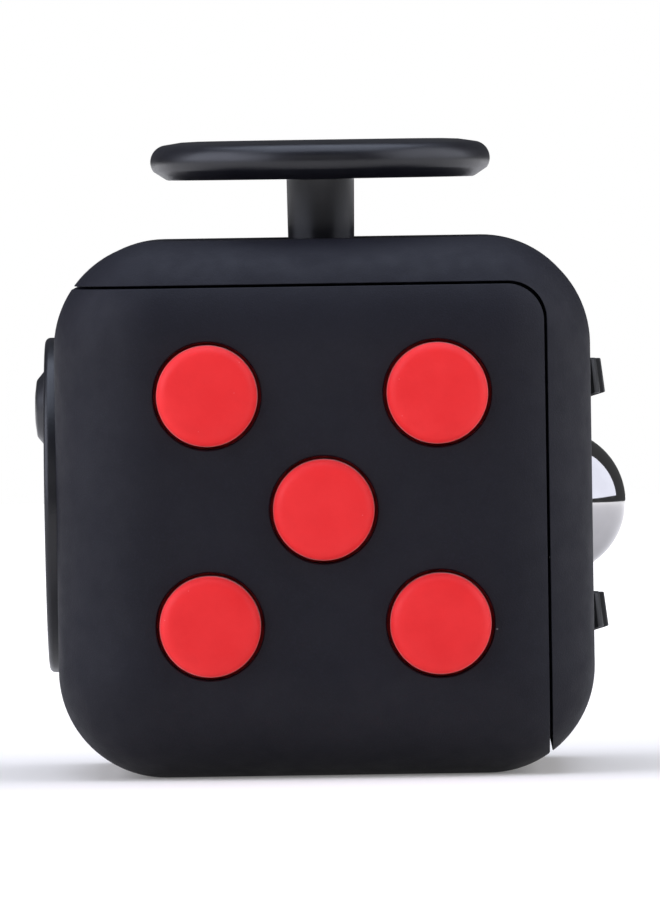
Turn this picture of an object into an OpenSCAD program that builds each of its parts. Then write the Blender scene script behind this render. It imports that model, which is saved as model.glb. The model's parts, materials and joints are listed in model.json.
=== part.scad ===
// Desk fidget cube: a palm-sized cube with a different thing to press, turn, tilt or flick on each face.
// Front: five push buttons. Left: turning dial. Top: joystick. Right: three gears and a click ball.
// Back: rocker switch. Underneath: a dished worry pad, which also makes the flat rim that it stands on.

/* [Case] */
// Edge length of the cube
cube_w = 33; // [32.5:0.1:34]
// Rounding radius of its edges and corners
edge_r = 6.6; // [6.2:0.1:6.8]
// Wall thickness of both shells
wall = 1.8; // [1.7:0.05:1.85]
// Distance of the seam from the faces that the rear shell covers
seam_in = 2.85; // [2.7:0.05:3]
// Width of the open seam between the shells
seam_gap = 0.16; // [0.1:0.02:0.3]
// Corner radius where the seam turns on a face
seam_r = 2.3; // [1.5:0.1:2.6]

/* [Buttons] */
// Half of the square pitch of the outer four buttons
button_pitch = 7.05; // [6.9:0.05:7.1]
// Radius of a button cap
button_r = 3.1; // [2.8:0.1:3.2]
// Height of a button cap above the face
button_proud = 1.1; // [0.9:0.1:1.3]

/* [Dial] */
// Radius of the turning disc
dial_r = 10.4; // [10:0.1:10.5]
// Height of the disc above the face
dial_proud = 0.74; // [0.5:0.02:1]
// Height of the dial's axis above the face's centre
dial_up = 0.15; // [0:0.05:0.3]
// Distance of the finger stud from the dial's axis
stud_out = 6; // [5:0.1:6.5]

/* [Joystick] */
// Radius of the joystick's disc
stick_r = 10.55; // [10:0.05:10.8]
// Thickness of the disc
stick_t = 2.4; // [2.3:0.05:2.5]
// Height of the disc's underside above the top face
stick_up = 3.7; // [3.4:0.05:4]
// Radius of its stalk
stalk_r = 2.1; // [1.9:0.05:2.1]

/* [Gears and ball] */
// Radius of the steel ball
ball_r = 4.5; // [4.4:0.05:4.5]
// Height of the ball above the face
ball_proud = 2.1; // [2.05:0.05:2.15]
// Tip radius of a gear
gear_r = 4.2; // [4.1:0.05:4.2]
// Height of the gear tips above the face
gear_proud = 1.05; // [0.9:0.05:1.1]
// Width of a gear
gear_w = 2.4; // [2.2:0.1:2.5]
// Distance from one gear to the next
gear_pitch = 7.3; // [7.1:0.05:7.35]
// Height of the middle gear above the face's centre
gear_shift = 0.2; // [0:0.1:0.4]
// Number of teeth on a gear
gear_teeth = 14; // [12:1:15]

/* [Switch] */
// Width of the rocker
rocker_w = 8.2; // [7.8:0.1:8.3]
// Tilt of the rocker each side of level, in degrees
rocker_tilt = 8; // [7:0.5:8]

/* [Hidden] */
$fn = 64;

half = cube_w / 2;
flat = half - edge_r;                    // half width of the flat part of a face
seam = half - seam_in;                   // the seam's place along each axis
lap = 0.9;                               // how far the rear shell's tongue reaches under the front shell
mid_depth = wall / 2;                    // depth of the lap joint's shared surface
lap_play = 0.05;                         // play between the two halves of the lap joint
far = cube_w;                            // further than any face
eps = 0.5;                               // how far a cutter runs past a surface
mouth = 0.2;                             // chamfer round an opening's mouth

black = [0.15, 0.15, 0.17];
inner_grey = [0.32, 0.33, 0.35];
red = [0.85, 0.13, 0.15];
steel = [0.75, 0.75, 0.77];
silicone = [0.8, 0.8, 0.78];

// ---- Frames ----
// Each one puts its children on a face, with +Z out of the face and z = 0 on its outer surface.

module on_front() translate([0, -half, 0]) rotate([90, 0, 0]) children();
module on_left() translate([-half, 0, 0]) rotate([90, 0, -90]) children();
module on_dial() on_left() translate([0, dial_up, 0]) children();
module on_right() translate([half, 0, 0]) rotate([90, 0, 90]) children();
module on_back() translate([0, half, 0]) rotate([90, 0, 180]) children();
module on_top() translate([0, 0, half]) children();
module on_bottom() translate([0, 0, -half]) rotate([180, 0, 0]) children();

// The cube stands on z = 0; everything is drawn round its centre.
module stand() translate([0, 0, half]) children();

// ---- Shared shapes ----

// Points of an arc round c from angle a0 to a1
function arc(c, r, a0, a1, n = 8) =
    [for (i = [0:n]) let (a = a0 + (a1 - a0) * i / n) c + r * [cos(a), sin(a)]];

// A rectangle with round corners, centred
module round_rect(w, h, r) {
    x = w / 2 - r;
    y = h / 2 - r;
    polygon(concat(arc([x, y], r, 0, 90), arc([-x, y], r, 90, 180),
        arc([-x, -y], r, 180, 270), arc([x, -y], r, 270, 360)));
}

// Turns a closed outline of [radius, height] points round Z
module turned(points) rotate_extrude() polygon(points);

// A round tube from z0 up to z1
module tube(outer, inner, z0, z1) {
    difference() {
        translate([0, 0, z0]) cylinder(r = outer, h = z1 - z0);
        translate([0, 0, z0 - eps]) cylinder(r = inner, h = z1 - z0 + 2 * eps);
    }
}

// A solid disc or rod from z0 up to z1
module rod(r, z0, z1) translate([0, 0, z0]) cylinder(r = r, h = z1 - z0);

// A box given by its lowest and highest corners
module block(low, high) translate(low) cube(high - low);

// A round hole down from z = 0, with a chamfered mouth
module chamfered_hole(r, depth) {
    rod(r, -depth, eps);
    translate([0, 0, -mouth]) cylinder(r1 = r, r2 = r + mouth + eps, h = mouth + eps);
}

// A coil spring from z = 0 up to length, with one closed turn at each end
module coil(mean_r, wire_r, length, turns, steps = 20, sides = 8) {
    dead = 2.15 * wire_r;
    rise = length - 2 * wire_r;
    pitch = (rise - 2 * dead) / (turns - 2);
    count = turns * steps;
    function height(t) = t < 1 ? t * dead
        : t > turns - 1 ? rise - (turns - t) * dead
        : dead + (t - 1) * pitch;
    points = [for (i = [0:count]) for (j = [0:sides - 1])
        let (a = 360 * i / steps, b = 360 * j / sides, r = mean_r + wire_r * cos(b))
        [r * cos(a), r * sin(a), wire_r + height(i / steps) + wire_r * sin(b)]];
    sides_faces = [for (i = [0:count - 1]) for (j = [0:sides - 1])
        let (k = (j + 1) % sides)
        [i * sides + j, i * sides + k, (i + 1) * sides + k, (i + 1) * sides + j]];
    start = [for (j = [sides - 1:-1:0]) j];
    end = [for (j = [0:sides - 1]) count * sides + j];
    polyhedron(points, concat(sides_faces, [start, end]), convexity = 10);
}

screw_r = 0.65;                          // shank radius of the small self-tapping screws
screw_head_r = 1.45;
screw_head_h = 0.8;
pilot_r = screw_r + 0.02;                // pilot hole in a boss
pass_r = 0.85;                           // clearance hole for a shank

// A small pan-head screw: the head stands on z = 0 and the shank runs down
module screw(length) {
    crown = screw_head_h / 2;
    point = 0.6;
    slot_half = [0.9, 0.16];
    slot_depth = 0.35;
    difference() {
        turned(concat([[0, -length], [screw_r * 0.4, -length], [screw_r, point - length],
            [screw_r, 0], [screw_head_r, 0], [screw_head_r, crown]],
            arc([screw_head_r - crown, crown], crown, 20, 90, 4), [[0, screw_head_h]]));
        for (a = [0, 90]) rotate([0, 0, a]) translate([0, 0, screw_head_h - slot_depth])
            linear_extrude(slot_depth + eps) square(2 * slot_half, center = true);
    }
}

// ---- Case ----

// A cube with round edges and corners, built from pieces that meet on flat faces
module rounded_cube(h, r) {
    a = h - r;
    block([-h, -a, -a], [h, a, a]);
    block([-a, -h, -a], [a, h, a]);
    block([-a, -a, -h], [a, a, h]);
    for (turn = [[0, 0, 0], [90, 0, 0], [0, 90, 0]]) rotate(turn)
        for (q = [0:3]) rotate([0, 0, 90 * q]) translate([a, a, -a])
            rotate_extrude(angle = 90) square([r, 2 * a]);
    for (m = [0, 1]) mirror([0, 0, m])
        for (q = [0:3]) rotate([0, 0, 90 * q]) translate([a, a, a])
            intersection() {
                sphere(r = r);
                cube(2 * r);
            }
}

// The corner of space that the front shell fills: all below s on each axis, with the three edges rounded
module front_region(s) {
    corner = arc([s - seam_r, s - seam_r], seam_r, 0, 90, 12);
    outline = concat([[-far, -far], [s, -far]], corner, [[-far, s]]);
    difference() {
        intersection() {
            translate([0, 0, -far]) linear_extrude(2 * far) polygon(outline);
            translate([0, far, 0]) rotate([90, 0, 0]) linear_extrude(2 * far) polygon(outline);
            translate([-far, 0, 0]) rotate([90, 0, 90]) linear_extrude(2 * far) polygon(outline);
        }
        block([half / 2, half / 2, half / 2], [far, far, far]);
    }
}

// Both shells' walls, whole
module case_walls() {
    difference() {
        rounded_cube(half, edge_r);
        rounded_cube(half - wall, edge_r - wall);
    }
}

// The front shell's walls, rebated inside along the seam
module front_walls() {
    difference() {
        intersection() {
            case_walls();
            front_region(seam);
        }
        difference() {
            rounded_cube(half - mid_depth, edge_r - mid_depth);
            front_region(seam - lap);
        }
    }
}

// The rear shell's walls, with the tongue that lies in the rebate
module rear_walls() {
    difference() {
        case_walls();
        difference() {
            front_region(seam + seam_gap);
            difference() {
                rounded_cube(half - mid_depth - lap_play, edge_r - mid_depth - lap_play);
                front_region(seam - lap + seam_gap);
            }
        }
    }
}

// A boss under a wall, from the wall's inside down to z, with a pilot hole up from its end
module boss(r, z) {
    difference() {
        rod(r, z, -wall * 0.6);
        rod(pilot_r, z - eps, -wall - 0.1);
    }
}

button_places = [[-1, 1], [1, 1], [0, 0], [-1, -1], [1, -1]] * button_pitch;
click_places = [button_places[0], button_places[2], button_places[4]];
plate_screws = [[0, 10.2], [0, -10.2], [-10.2, 0]];
boss_r = 1.8;

button_gap = 0.2;                        // play round a button cap
flange_r = 3.75;
flange_top = -wall - 0.15;
flange_low = flange_top - 0.7;
nub_r = 1.5;                             // the knob under a cap that presses on its dome
nub_low = flange_low - 0.65;
pad_top = nub_low - 1.4;
pad_low = pad_top - 0.6;
plate_low = pad_low - 1;

dial_sink = 0.75;                        // depth of the dial's recess
dial_hub_r = 2.4;
dial_run = 0.05;                         // running clearance of the hub
dial_boss_low = -wall - 1.9;

// Dish of the worry pad: two bends, so that its mouth is an oval
dish_a = 9;
dish_b = 7.4;
dish_depth = 2.1;
dish_skin = 1.5;
function bend(a) = (a * a + dish_depth * dish_depth) / (2 * dish_depth);

// The barrel whose crown makes the dish, or with grow the skin under it, seen from the face's outer side
module dish_barrel(grow) {
    ra = bend(dish_a) + grow;
    rb = bend(dish_b) + grow;
    translate([0, 0, bend(dish_b) - dish_depth]) rotate([0, 90, 0]) rotate_extrude()
        intersection() {
            translate([rb - ra, 0]) circle(r = ra);
            translate([0, -2 * dish_a]) square([2 * rb, 4 * dish_a]);
        }
}

module front_shell() {
    color(black) stand() difference() {
        union() {
            front_walls();
            on_front() for (p = plate_screws) translate(p) boss(boss_r, pad_low);
            on_dial() rod(4, dial_boss_low, -wall * 0.6);
            on_bottom() intersection() {
                dish_barrel(dish_skin);
                rod(flat, -wall - 3, -wall * 0.5);
            }
        }
        on_front() for (p = button_places) translate(p) chamfered_hole(button_r + button_gap, wall + eps);
        on_dial() {
            rod(dial_r + 0.15, -dial_sink, eps);
            rod(dial_hub_r + dial_run, dial_boss_low - eps, eps);
        }
        on_bottom() dish_barrel(0);
    }
}

// ---- Buttons ----

module push_button() {
    round_over = 0.45;
    crown = 0.12;                        // how far the cap's middle bows up
    turned(concat([[0, nub_low], [nub_r, nub_low], [nub_r, flange_low], [flange_r, flange_low],
        [flange_r, flange_top], [button_r, flange_top]],
        arc([button_r - round_over, button_proud - round_over - crown], round_over, 0, 80, 8),
        [[button_r * 0.55, button_proud - crown / 3], [0, button_proud]]));
}

module button(place) color(red) stand() on_front() translate(button_places[place]) push_button();

dome_low_r = 3.1;
dome_top_r = 1.9;
dome_skin = 0.35;
dome_top = nub_low - 0.05;
pad_w = 24.8;
plate_w = 24.4;
plate_corner_r = 2;

// One soft dome, open underneath, with a plunger inside
module soft_dome() {
    roof = dome_top - dome_skin;
    plunger_r = 1;
    plunger_low = roof - 0.35;
    foot_r = dome_low_r + 0.3;
    turned([[0, plunger_low], [plunger_r, plunger_low], [plunger_r, roof],
        [dome_top_r - dome_skin * 0.5, roof], [dome_low_r - dome_skin, pad_low],
        [foot_r, pad_low], [foot_r, pad_top], [dome_low_r, pad_top], [dome_top_r, dome_top], [0, dome_top]]);
}

module button_dome_pad() {
    color(silicone) stand() on_front() {
        difference() {
            translate([0, 0, pad_low]) linear_extrude(pad_top - pad_low)
                round_rect(pad_w, pad_w, plate_corner_r);
            for (p = plate_screws) translate(p) rod(boss_r + 0.2, pad_low - eps, pad_top + eps);
            for (p = button_places) translate(p) rod(dome_low_r + 0.1, pad_low - eps, pad_top + eps);
        }
        for (p = button_places) translate(p) soft_dome();
    }
}

// A thin sprung metal dome, with its rim at z = 0
module snap_dome(r, rise, skin) {
    big = (r * r + rise * rise) / (2 * rise);
    tilt = asin(r / big);
    centre = [0, rise - big];
    turned(concat(arc(centre, big, 90 - tilt, 90), arc(centre, big - skin, 90, 90 - tilt)));
}

module click_domes() {
    skin = 0.1;
    color(steel) stand() on_front() for (p = click_places) translate([p[0], p[1], pad_low + skin + 0.02])
        snap_dome(2.3, 0.5, skin);
}

module button_backplate() {
    vent_r = 0.5;                        // lets the air out of a dome
    color(inner_grey) stand() on_front() difference() {
        translate([0, 0, plate_low]) linear_extrude(pad_low - plate_low)
            round_rect(plate_w, plate_w, plate_corner_r);
        for (p = plate_screws) translate(p) rod(pass_r, plate_low - eps, pad_low + eps);
        for (p = button_places) translate(p) rod(vent_r, plate_low - eps, pad_low + eps);
    }
}

module backplate_screws() {
    color(steel) stand() on_front() for (p = plate_screws) translate([p[0], p[1], plate_low])
        rotate([180, 0, 0]) screw(4);
}

// ---- Dial ----

dial_low = -dial_sink + 0.05;
ring_top = dial_boss_low - 0.05;
ring_low = ring_top - 0.45;
ring_r = 3.6;
hub_end = ring_low - 0.05;
washer_r = 3.8;
washer_low = hub_end - 0.55;

module spin_dial() {
    edge = 0.3;
    stud_h = 0.68;
    stud_r = 2.3;
    stud_top_r = 1.6;
    thread_r = 0.77;                     // the screw's thread is cut in this hole
    rim = arc([dial_r - edge, dial_proud - edge], edge, 0, 90, 6);
    stud_edge = arc([stud_top_r, stud_h - 0.25], 0.35, 50, 90, 4);
    color(black) stand() on_dial() difference() {
        union() {
            turned(concat([[0, hub_end], [dial_hub_r, hub_end], [dial_hub_r, dial_low],
                [dial_r, dial_low]], rim, [[0, dial_proud]]));
            translate([0, stud_out, dial_proud - 0.1])
                turned(concat([[0, 0], [stud_r, 0], [stud_r, 0.1]], stud_edge, [[0, stud_h + 0.1]]));
        }
        rod(thread_r, hub_end - eps, -wall);
    }
}

module dial_friction_ring() {
    color([0.1, 0.1, 0.1]) stand() on_dial() tube(ring_r, dial_hub_r + 0.1, ring_low, ring_top);
}

module dial_washer() {
    color(steel) stand() on_dial() tube(washer_r, pass_r, washer_low, hub_end);
}

module dial_screw() {
    color(steel) stand() on_dial() translate([0, 0, washer_low]) rotate([180, 0, 0]) screw(2.6);
}

// ---- Joystick ----

pivot = -6;                              // depth of the joystick's pivot below the top face
dome_r = 5.5;
spigot_r = 1.2;                          // the cap is pressed on this
stick_hole_r = 4;
trunnion_r = 0.6;
trunnion_run = 0.03;
gimbal_out = 3.1;                        // half width of the gimbal ring
foot_top = -2.3;                         // top of the shaft's foot, below the pivot
housing_out = 4.9;                       // half width of the housing, outside and inside
housing_in = 3.5;
housing_t = 0.7;
cup_wall_z = 1.3;                        // height above the pivot of the housing's bearing walls
floor_z = -7.2;                          // depth of the housing's underside below the pivot
housing_ears = [[-6.4, 6.4], [6.4, -6.4]];
ear_z = -wall - 2;                       // underside of the bosses that the ears are screwed to
ear_t = 1;

module joystick_cap() {
    bow = 0.15;                          // how far the disc's middle bows up
    nose_h = 1.15;                       // height of the rim's widest line above the underside
    nose_r = 1.05;
    ring = 6.5;                          // the thumb dish starts inside this radius
    dish = 0.35;
    low = pivot + dome_r;
    top = stick_up + stick_t;
    underside = [[0, low], [stalk_r - 0.05, low], [stalk_r, stick_up + bow], [stick_r - 1.1, stick_up],
        [stick_r - 1, stick_up + 0.03]];
    rim = arc([stick_r - nose_r, stick_up + nose_h], nose_r, -35, 82, 14);
    thumb_dish = [for (i = [0:6]) let (t = 1 - (i + 1) / 7) [ring * t, top - dish * (1 - t * t)]];
    color(black) stand() on_top() difference() {
        turned(concat(underside, rim, [[ring + 1, top - 0.04], [ring, top]], thumb_dish));
        rod(spigot_r + 0.02, low - eps, stick_up + 0.2);
    }
}

// The part under the cap: a dome that closes the hole, on a block with the lower pair of trunnions
module joystick_shaft() {
    rim_angle = 58;
    dome_in = 4.8;
    under = 25;                          // the dome's underside starts at this angle from the top
    collar_r = 2.3;
    collar = dome_r - 0.05;
    column_r = 1.3;
    foot_r = 2.5;
    foot_low = foot_top - 0.6;
    guide = foot_low - 0.6;              // the spigot that keeps the spring central
    guide_r = 1.4;
    core = [1.6, 1.6, 1.2];              // half size of the block between the trunnions
    color(black) stand() on_top() translate([0, 0, pivot]) {
        turned(concat([[0, dome_in * cos(under)]],
            arc([0, 0], dome_in, 90 - under, 90 - rim_angle), arc([0, 0], dome_r, 90 - rim_angle, 65),
            [[collar_r, collar - 0.45], [collar_r, collar], [0, collar]]));
        rod(spigot_r, dome_in, stick_up - pivot);
        rod(column_r, foot_low, dome_in - 0.3);
        block(-core, core);
        rotate([90, 0, 0]) rod(trunnion_r, -gimbal_out + 0.15, gimbal_out - 0.15);
        rod(foot_r, foot_low, foot_top);
        rod(guide_r, guide, foot_low);
    }
}

module gimbal_ring() {
    inside = 2.1;
    side = 1;
    color(inner_grey) stand() on_top() translate([0, 0, pivot]) {
        difference() {
            block([-gimbal_out, -gimbal_out, -side], [gimbal_out, gimbal_out, side]);
            block([-inside, -inside, -2 * side], [inside, inside, 2 * side]);
            rotate([90, 0, 0]) rod(trunnion_r + trunnion_run, -far, far);
        }
        for (s = [-1, 1]) rotate([0, s * 90, 0]) rod(trunnion_r, gimbal_out - 0.5, housing_out - 0.4);
    }
}

module joystick_spring() {
    gap = 0.05;
    wire_r = 0.2;
    color(steel) stand() on_top() translate([0, 0, pivot + floor_z + housing_t + gap])
        coil(1.9, wire_r, foot_top - 0.6 - floor_z - housing_t - 2 * gap, 5);
}

module joystick_housing() {
    funnel = 7;
    funnel_t = 1.1;
    funnel_low = trunnion_r + 0.15;      // clear of the trunnions' holes
    in = housing_in;
    ear_r = 1.9;
    bar_half = 1.2;                      // half width of the bar that carries the ears
    bar_end = norm(housing_ears[0]) - 1;
    color(inner_grey) stand() on_top() difference() {
        union() {
            translate([0, 0, pivot]) {
                block([-housing_out, -housing_out, floor_z], [housing_out, housing_out, cup_wall_z]);
                rod(funnel, funnel_low, -wall - pivot);
            }
            for (p = housing_ears) translate(p) rod(ear_r, ear_z - ear_t, ear_z);
            rotate([0, 0, -45])
                block([-bar_end, -bar_half, ear_z - ear_t], [bar_end, bar_half, ear_z]);
        }
        translate([0, 0, pivot]) {
            block([-in, -in, floor_z + housing_t], [in, in, cup_wall_z + eps]);
            rod(funnel - funnel_t, cup_wall_z, eps - wall - pivot);
            rotate([0, 90, 0]) rod(trunnion_r + trunnion_run, -far, far);
        }
        for (p = housing_ears) translate(p) rod(pass_r, ear_z - ear_t - eps, ear_z + eps);
    }
}

module housing_screws() {
    color(steel) stand() on_top() for (p = housing_ears) translate([p[0], p[1], ear_z - ear_t])
        rotate([180, 0, 0]) screw(2.9);
}

// ---- Gears and ball, on the right face ----

ball_at = [-5.1, 0];
ball_depth = ball_proud - ball_r;        // the ball's centre, below the face
ball_gap = 0.12;                         // play round the ball in the shell
gear_room = 0.3;                         // room round a gear in the shell
gear_at = 4.9;
axle_depth = gear_proud - gear_r;
axle_r = 0.75;
gear_places = [gear_shift + gear_pitch, gear_shift, gear_shift - gear_pitch];
hub_r = 1.3;
hub_half = 2.75;
arm_gap = 0.1;                           // end play of a gear's hub
arm_t = 1;                               // thickness of the bracket's end arms
plate_top = -8.15;                       // the bracket's plate
plate_t = 1.2;
plate_half = 10.5;
plate_front = 9.9;
guide_r = 5;
guide_up = -2.2;                         // top of the cup's guide, below the ball's centre
cup_r = 4.3;
bracket_posts = [[-5.6, 8.8], [-5.6, -8.8], [11.4, 3.95]];
post_r = 1.7;
comb_at = gear_at + gear_r + 0.35;       // the click spring stands behind the gears
comb_t = 0.2;
comb_foot = 0.6;                         // how deep its foot stands in the bracket
comb_play = 0.02;
window_h = 15;                           // height of the rocker's window

// Puts children on the gears' axis, with +Z along it and the face's outside towards +X
module on_axle() translate([gear_at, 0, axle_depth]) rotate([0, -90, -90]) children();

module rear_shell() {
    color(black) stand() difference() {
        union() {
            rear_walls();
            on_top() for (p = housing_ears) translate(p) boss(post_r, ear_z);
            on_right() for (p = bracket_posts) translate(p) boss(post_r, plate_top);
            on_back() for (p = cradle_posts) translate(p) boss(boss_r, rail_top);
        }
        on_top() chamfered_hole(stick_hole_r, wall + eps);
        on_right() {
            translate([ball_at[0], ball_at[1], ball_depth]) {
                sphere(r = ball_r + ball_gap);
                rod(ball_r + ball_gap, -eps, 0);
            }
            on_axle() for (g = gear_places) translate([0, 0, g])
                rod(gear_r + gear_room, -gear_w / 2 - gear_room, gear_w / 2 + gear_room);
        }
        on_back() translate([0, 0, -wall - eps]) linear_extrude(wall + 2 * eps)
            round_rect(rocker_w + 0.4, window_h, 0.5);
    }
}

// One gear: teeth, and a hub that keeps it between the bracket's arms
module gear(place) {
    root = gear_r - 0.85;
    root_half = 0.34;                    // half width of a tooth at its root and tip, in steps
    tip_half = 0.17;
    step = 360 / gear_teeth;
    tooth = [[-root_half, root], [-tip_half, gear_r], [tip_half, gear_r], [root_half, root]];
    outline = [for (i = [0:gear_teeth - 1]) for (k = tooth)
        k[1] * [cos(step * (i + k[0])), sin(step * (i + k[0]))]];
    bevel = 0.25;
    side = gear_w / 2;
    color(black) stand() on_right() on_axle() translate([0, 0, gear_places[place]]) difference() {
        union() {
            intersection() {
                translate([0, 0, -side]) linear_extrude(gear_w) polygon(outline);
                turned([[0, -side], [root, -side], [gear_r, bevel - side], [gear_r - bevel, side],
                    [0, side]]);
            }
            rod(hub_r, -hub_half, hub_half);
        }
        rod(axle_r + 0.05, -hub_half - eps, hub_half + eps);
    }
}

module gear_axle() {
    reach = gear_pitch + hub_half + arm_gap + arm_t;
    color(steel) stand() on_right() on_axle() translate([0, 0, gear_shift]) rod(axle_r, -reach, reach);
}

module steel_ball() {
    color(steel) stand() on_right() translate([ball_at[0], ball_at[1], ball_depth]) sphere(r = ball_r);
}

module ball_cup() {
    lip = -2;
    base = -ball_r - 0.35;
    nub_t = 0.1;                         // the nub that rests on the click dome
    nub_r = 1.2;
    color(inner_grey) stand() on_right() translate([ball_at[0], ball_at[1], ball_depth]) difference() {
        union() {
            rod(cup_r, base, lip);
            rod(nub_r, base - nub_t, base);
        }
        sphere(r = ball_r + 0.05);
    }
}

module ball_click_dome() {
    skin = 0.12;
    color(steel) stand() on_right() translate([ball_at[0], ball_at[1], plate_top + skin])
        snap_dome(2.7, 0.6, skin);
}

module roll_bracket() {
    arm_half = 1.6;
    arm_top = -2.1;
    guide_t = 0.64;                      // wall of the cup's guide
    inner_t = gear_pitch - 2 * (hub_half + arm_gap);
    outer = gear_pitch + hub_half + arm_gap + arm_t / 2;
    inner = gear_pitch / 2;
    arms = [[outer, arm_t], [inner, inner_t], [-inner, inner_t], [-outer, arm_t]];
    bottom = plate_top - plate_t;
    post = bracket_posts[2];
    color(inner_grey) stand() on_right() difference() {
        union() {
            block([-plate_front, -plate_half, bottom], [comb_at + 0.5, plate_half, plate_top]);
            block([gear_at, post[1] - post_r, bottom], [post[0] + post_r, post[1] + post_r, plate_top]);
            translate(ball_at) rod(guide_r, bottom, ball_depth + guide_up);
            translate([gear_at, gear_shift, 0]) for (arm = arms)
                block([-arm_half, arm[0] - arm[1] / 2, bottom], [arm_half, arm[0] + arm[1] / 2, arm_top]);
        }
        translate(ball_at) rod(guide_r - guide_t, plate_top, ball_depth);
        on_axle() rod(axle_r + 0.02, -far, far);
        for (p = bracket_posts) translate(p) rod(pass_r, bottom - eps, plate_top + eps);
        block([comb_at - comb_play, gear_places[2] - 1 - comb_play, plate_top - comb_foot - comb_play],
            [comb_at + comb_t + comb_play, gear_places[0] + 1 + comb_play, plate_top + eps]);
    }
}

module bracket_screws() {
    color(steel) stand() on_right() for (p = bracket_posts) translate([p[0], p[1], plate_top - plate_t])
        rotate([180, 0, 0]) screw(5);
}

// A comb of three steel fingers, each with its tip in a tooth gap. Its foot stands in the bracket's groove.
module gear_click_spring() {
    finger_w = 1.4;
    tip = [gear_at + gear_r - 0.2, axle_depth];
    bend_h = 1.2;
    foot = plate_top - comb_foot;
    finger = [[comb_at, foot], [comb_at + comb_t, foot], [comb_at + comb_t, tip[1] - bend_h],
        [tip[0] + comb_t, tip[1]], [comb_at + comb_t, tip[1] + bend_h], [comb_at, tip[1] + bend_h],
        tip, [comb_at, tip[1] - bend_h]];
    color(steel) stand() on_right() {
        for (g = gear_places) translate([0, g + finger_w / 2, 0]) rotate([90, 0, 0])
            linear_extrude(finger_w) polygon(finger);
        block([comb_at, gear_places[2] - 1, foot], [comb_at + comb_t, gear_places[0] + 1, plate_top + 1.2]);
    }
}

// ---- Rocker switch, on the back face ----

rocker_pivot = -3.1;                     // depth of the rocker's axis
rocker_face = 3.3;                       // the face's middle above the axis
rocker_end_r = 7.4;
rail_top = -4.1;
rail_t = 1.1;
cradle_floor = -8.5;
cradle_posts = [[0, 10.2], [0, -10.2]];
cheek_in = rocker_w / 2 + 0.35;
cheek_out = cheek_in + 1.45;
rocker_pin_r = 0.9;
tail = 3.1;                              // the tail's round tip below the axis
tail_r = 0.5;
tail_w = 3;                              // width of the tail, and of the spring it clicks on

// Extrudes an outline across the rocker: its X runs along the face's height and its Y out of the face
module across(w) rotate([90, 0, 90]) translate([0, 0, -w / 2]) linear_extrude(w) children();

module rocker_switch() {
    end = 6.1;
    end_v = rocker_face + end * tan(rocker_tilt);
    end_a = atan2(end_v, end);
    low_v = 0.6;
    low_a = asin(low_v / rocker_end_r);
    belly = [2.2, -1.3];                 // corner of the flat underside
    right = arc([0, 0], rocker_end_r, end_a, low_a, 5);
    left = arc([0, 0], rocker_end_r, 180 - low_a, 180 - end_a, 5);
    color(black) stand() on_back() translate([0, 0, rocker_pivot]) rotate([-rocker_tilt, 0, 0]) {
        across(rocker_w) polygon(concat([[0, rocker_face]], right, [belly, [-belly[0], belly[1]]], left));
        across(tail_w) polygon(concat([[rocker_pin_r, 0], [-rocker_pin_r, 0]],
            arc([0, -tail], tail_r, 180, 360, 8)));
        rotate([0, 90, 0]) rod(rocker_pin_r, -cheek_out + 0.15, cheek_out - 0.15);
    }
}

module rocker_cradle() {
    rail_half = [cheek_out, 12.1];       // half size of the frame, outside and inside
    rail_in = [cheek_in, 8.3];
    cheek_half = 3;
    floor_half = 5.6;
    floor_t = 0.9;
    rail_low = rail_top - rail_t;
    color(inner_grey) stand() on_back() difference() {
        union() {
            difference() {
                translate([0, 0, rail_low]) linear_extrude(rail_t) square(2 * rail_half, center = true);
                translate([0, 0, rail_low - eps]) linear_extrude(rail_t + 2 * eps)
                    square(2 * rail_in, center = true);
            }
            for (s = [-1, 1]) mirror([s > 0 ? 1 : 0, 0, 0])
                block([cheek_in, -cheek_half, cradle_floor - eps], [cheek_out, cheek_half, -wall - 0.1]);
            block([-cheek_out, -floor_half, cradle_floor - floor_t], [cheek_out, floor_half, cradle_floor]);
        }
        translate([0, 0, rocker_pivot]) rotate([0, 90, 0]) rod(rocker_pin_r + 0.04, -far, far);
        for (p = cradle_posts) translate(p) rod(pass_r, rail_low - eps, rail_top + eps);
    }
}

module rocker_leaf_spring() {
    skin = 0.2;
    peak = rocker_pivot - tail - tail_r + 0.14;
    foot = cradle_floor + skin + 0.03;
    bend_at = 4;
    end = 5.2;
    color(steel) stand() on_back() across(tail_w) polygon([[-end, foot], [-bend_at, foot], [0, peak],
        [bend_at, foot], [end, foot], [end, foot - skin], [bend_at - 0.1, foot - skin],
        [0, peak - skin * 1.1], [0.1 - bend_at, foot - skin], [-end, foot - skin]]);
}

module cradle_screws() {
    color(steel) stand() on_back() for (p = cradle_posts) translate([p[0], p[1], rail_top - rail_t])
        rotate([180, 0, 0]) screw(3);
}

// ---- Nodes ----

front_shell();
rear_shell();
button(0);  // button_top_left
button(1);  // button_top_right
button(2);  // button_centre
button(3);  // button_bottom_left
button(4);  // button_bottom_right
button_dome_pad();
click_domes();
button_backplate();
backplate_screws();
spin_dial();
dial_friction_ring();
dial_washer();
dial_screw();
joystick_cap();
joystick_shaft();
gimbal_ring();
joystick_spring();
joystick_housing();
housing_screws();
steel_ball();
ball_cup();
ball_click_dome();
gear(0);  // gear_upper
gear(1);  // gear_middle
gear(2);  // gear_lower
gear_axle();
gear_click_spring();
roll_bracket();
bracket_screws();
rocker_switch();
rocker_leaf_spring();
rocker_cradle();
cradle_screws();
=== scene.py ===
"""The looks of a fidget cube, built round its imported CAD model.

Shapes are drawn in millimetres round the cube's centre, and turned into the frame's metres when they
are finished.
"""

import json
import math

import bmesh
import bpy
import numpy as np
from mathutils import Matrix, Vector


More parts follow.
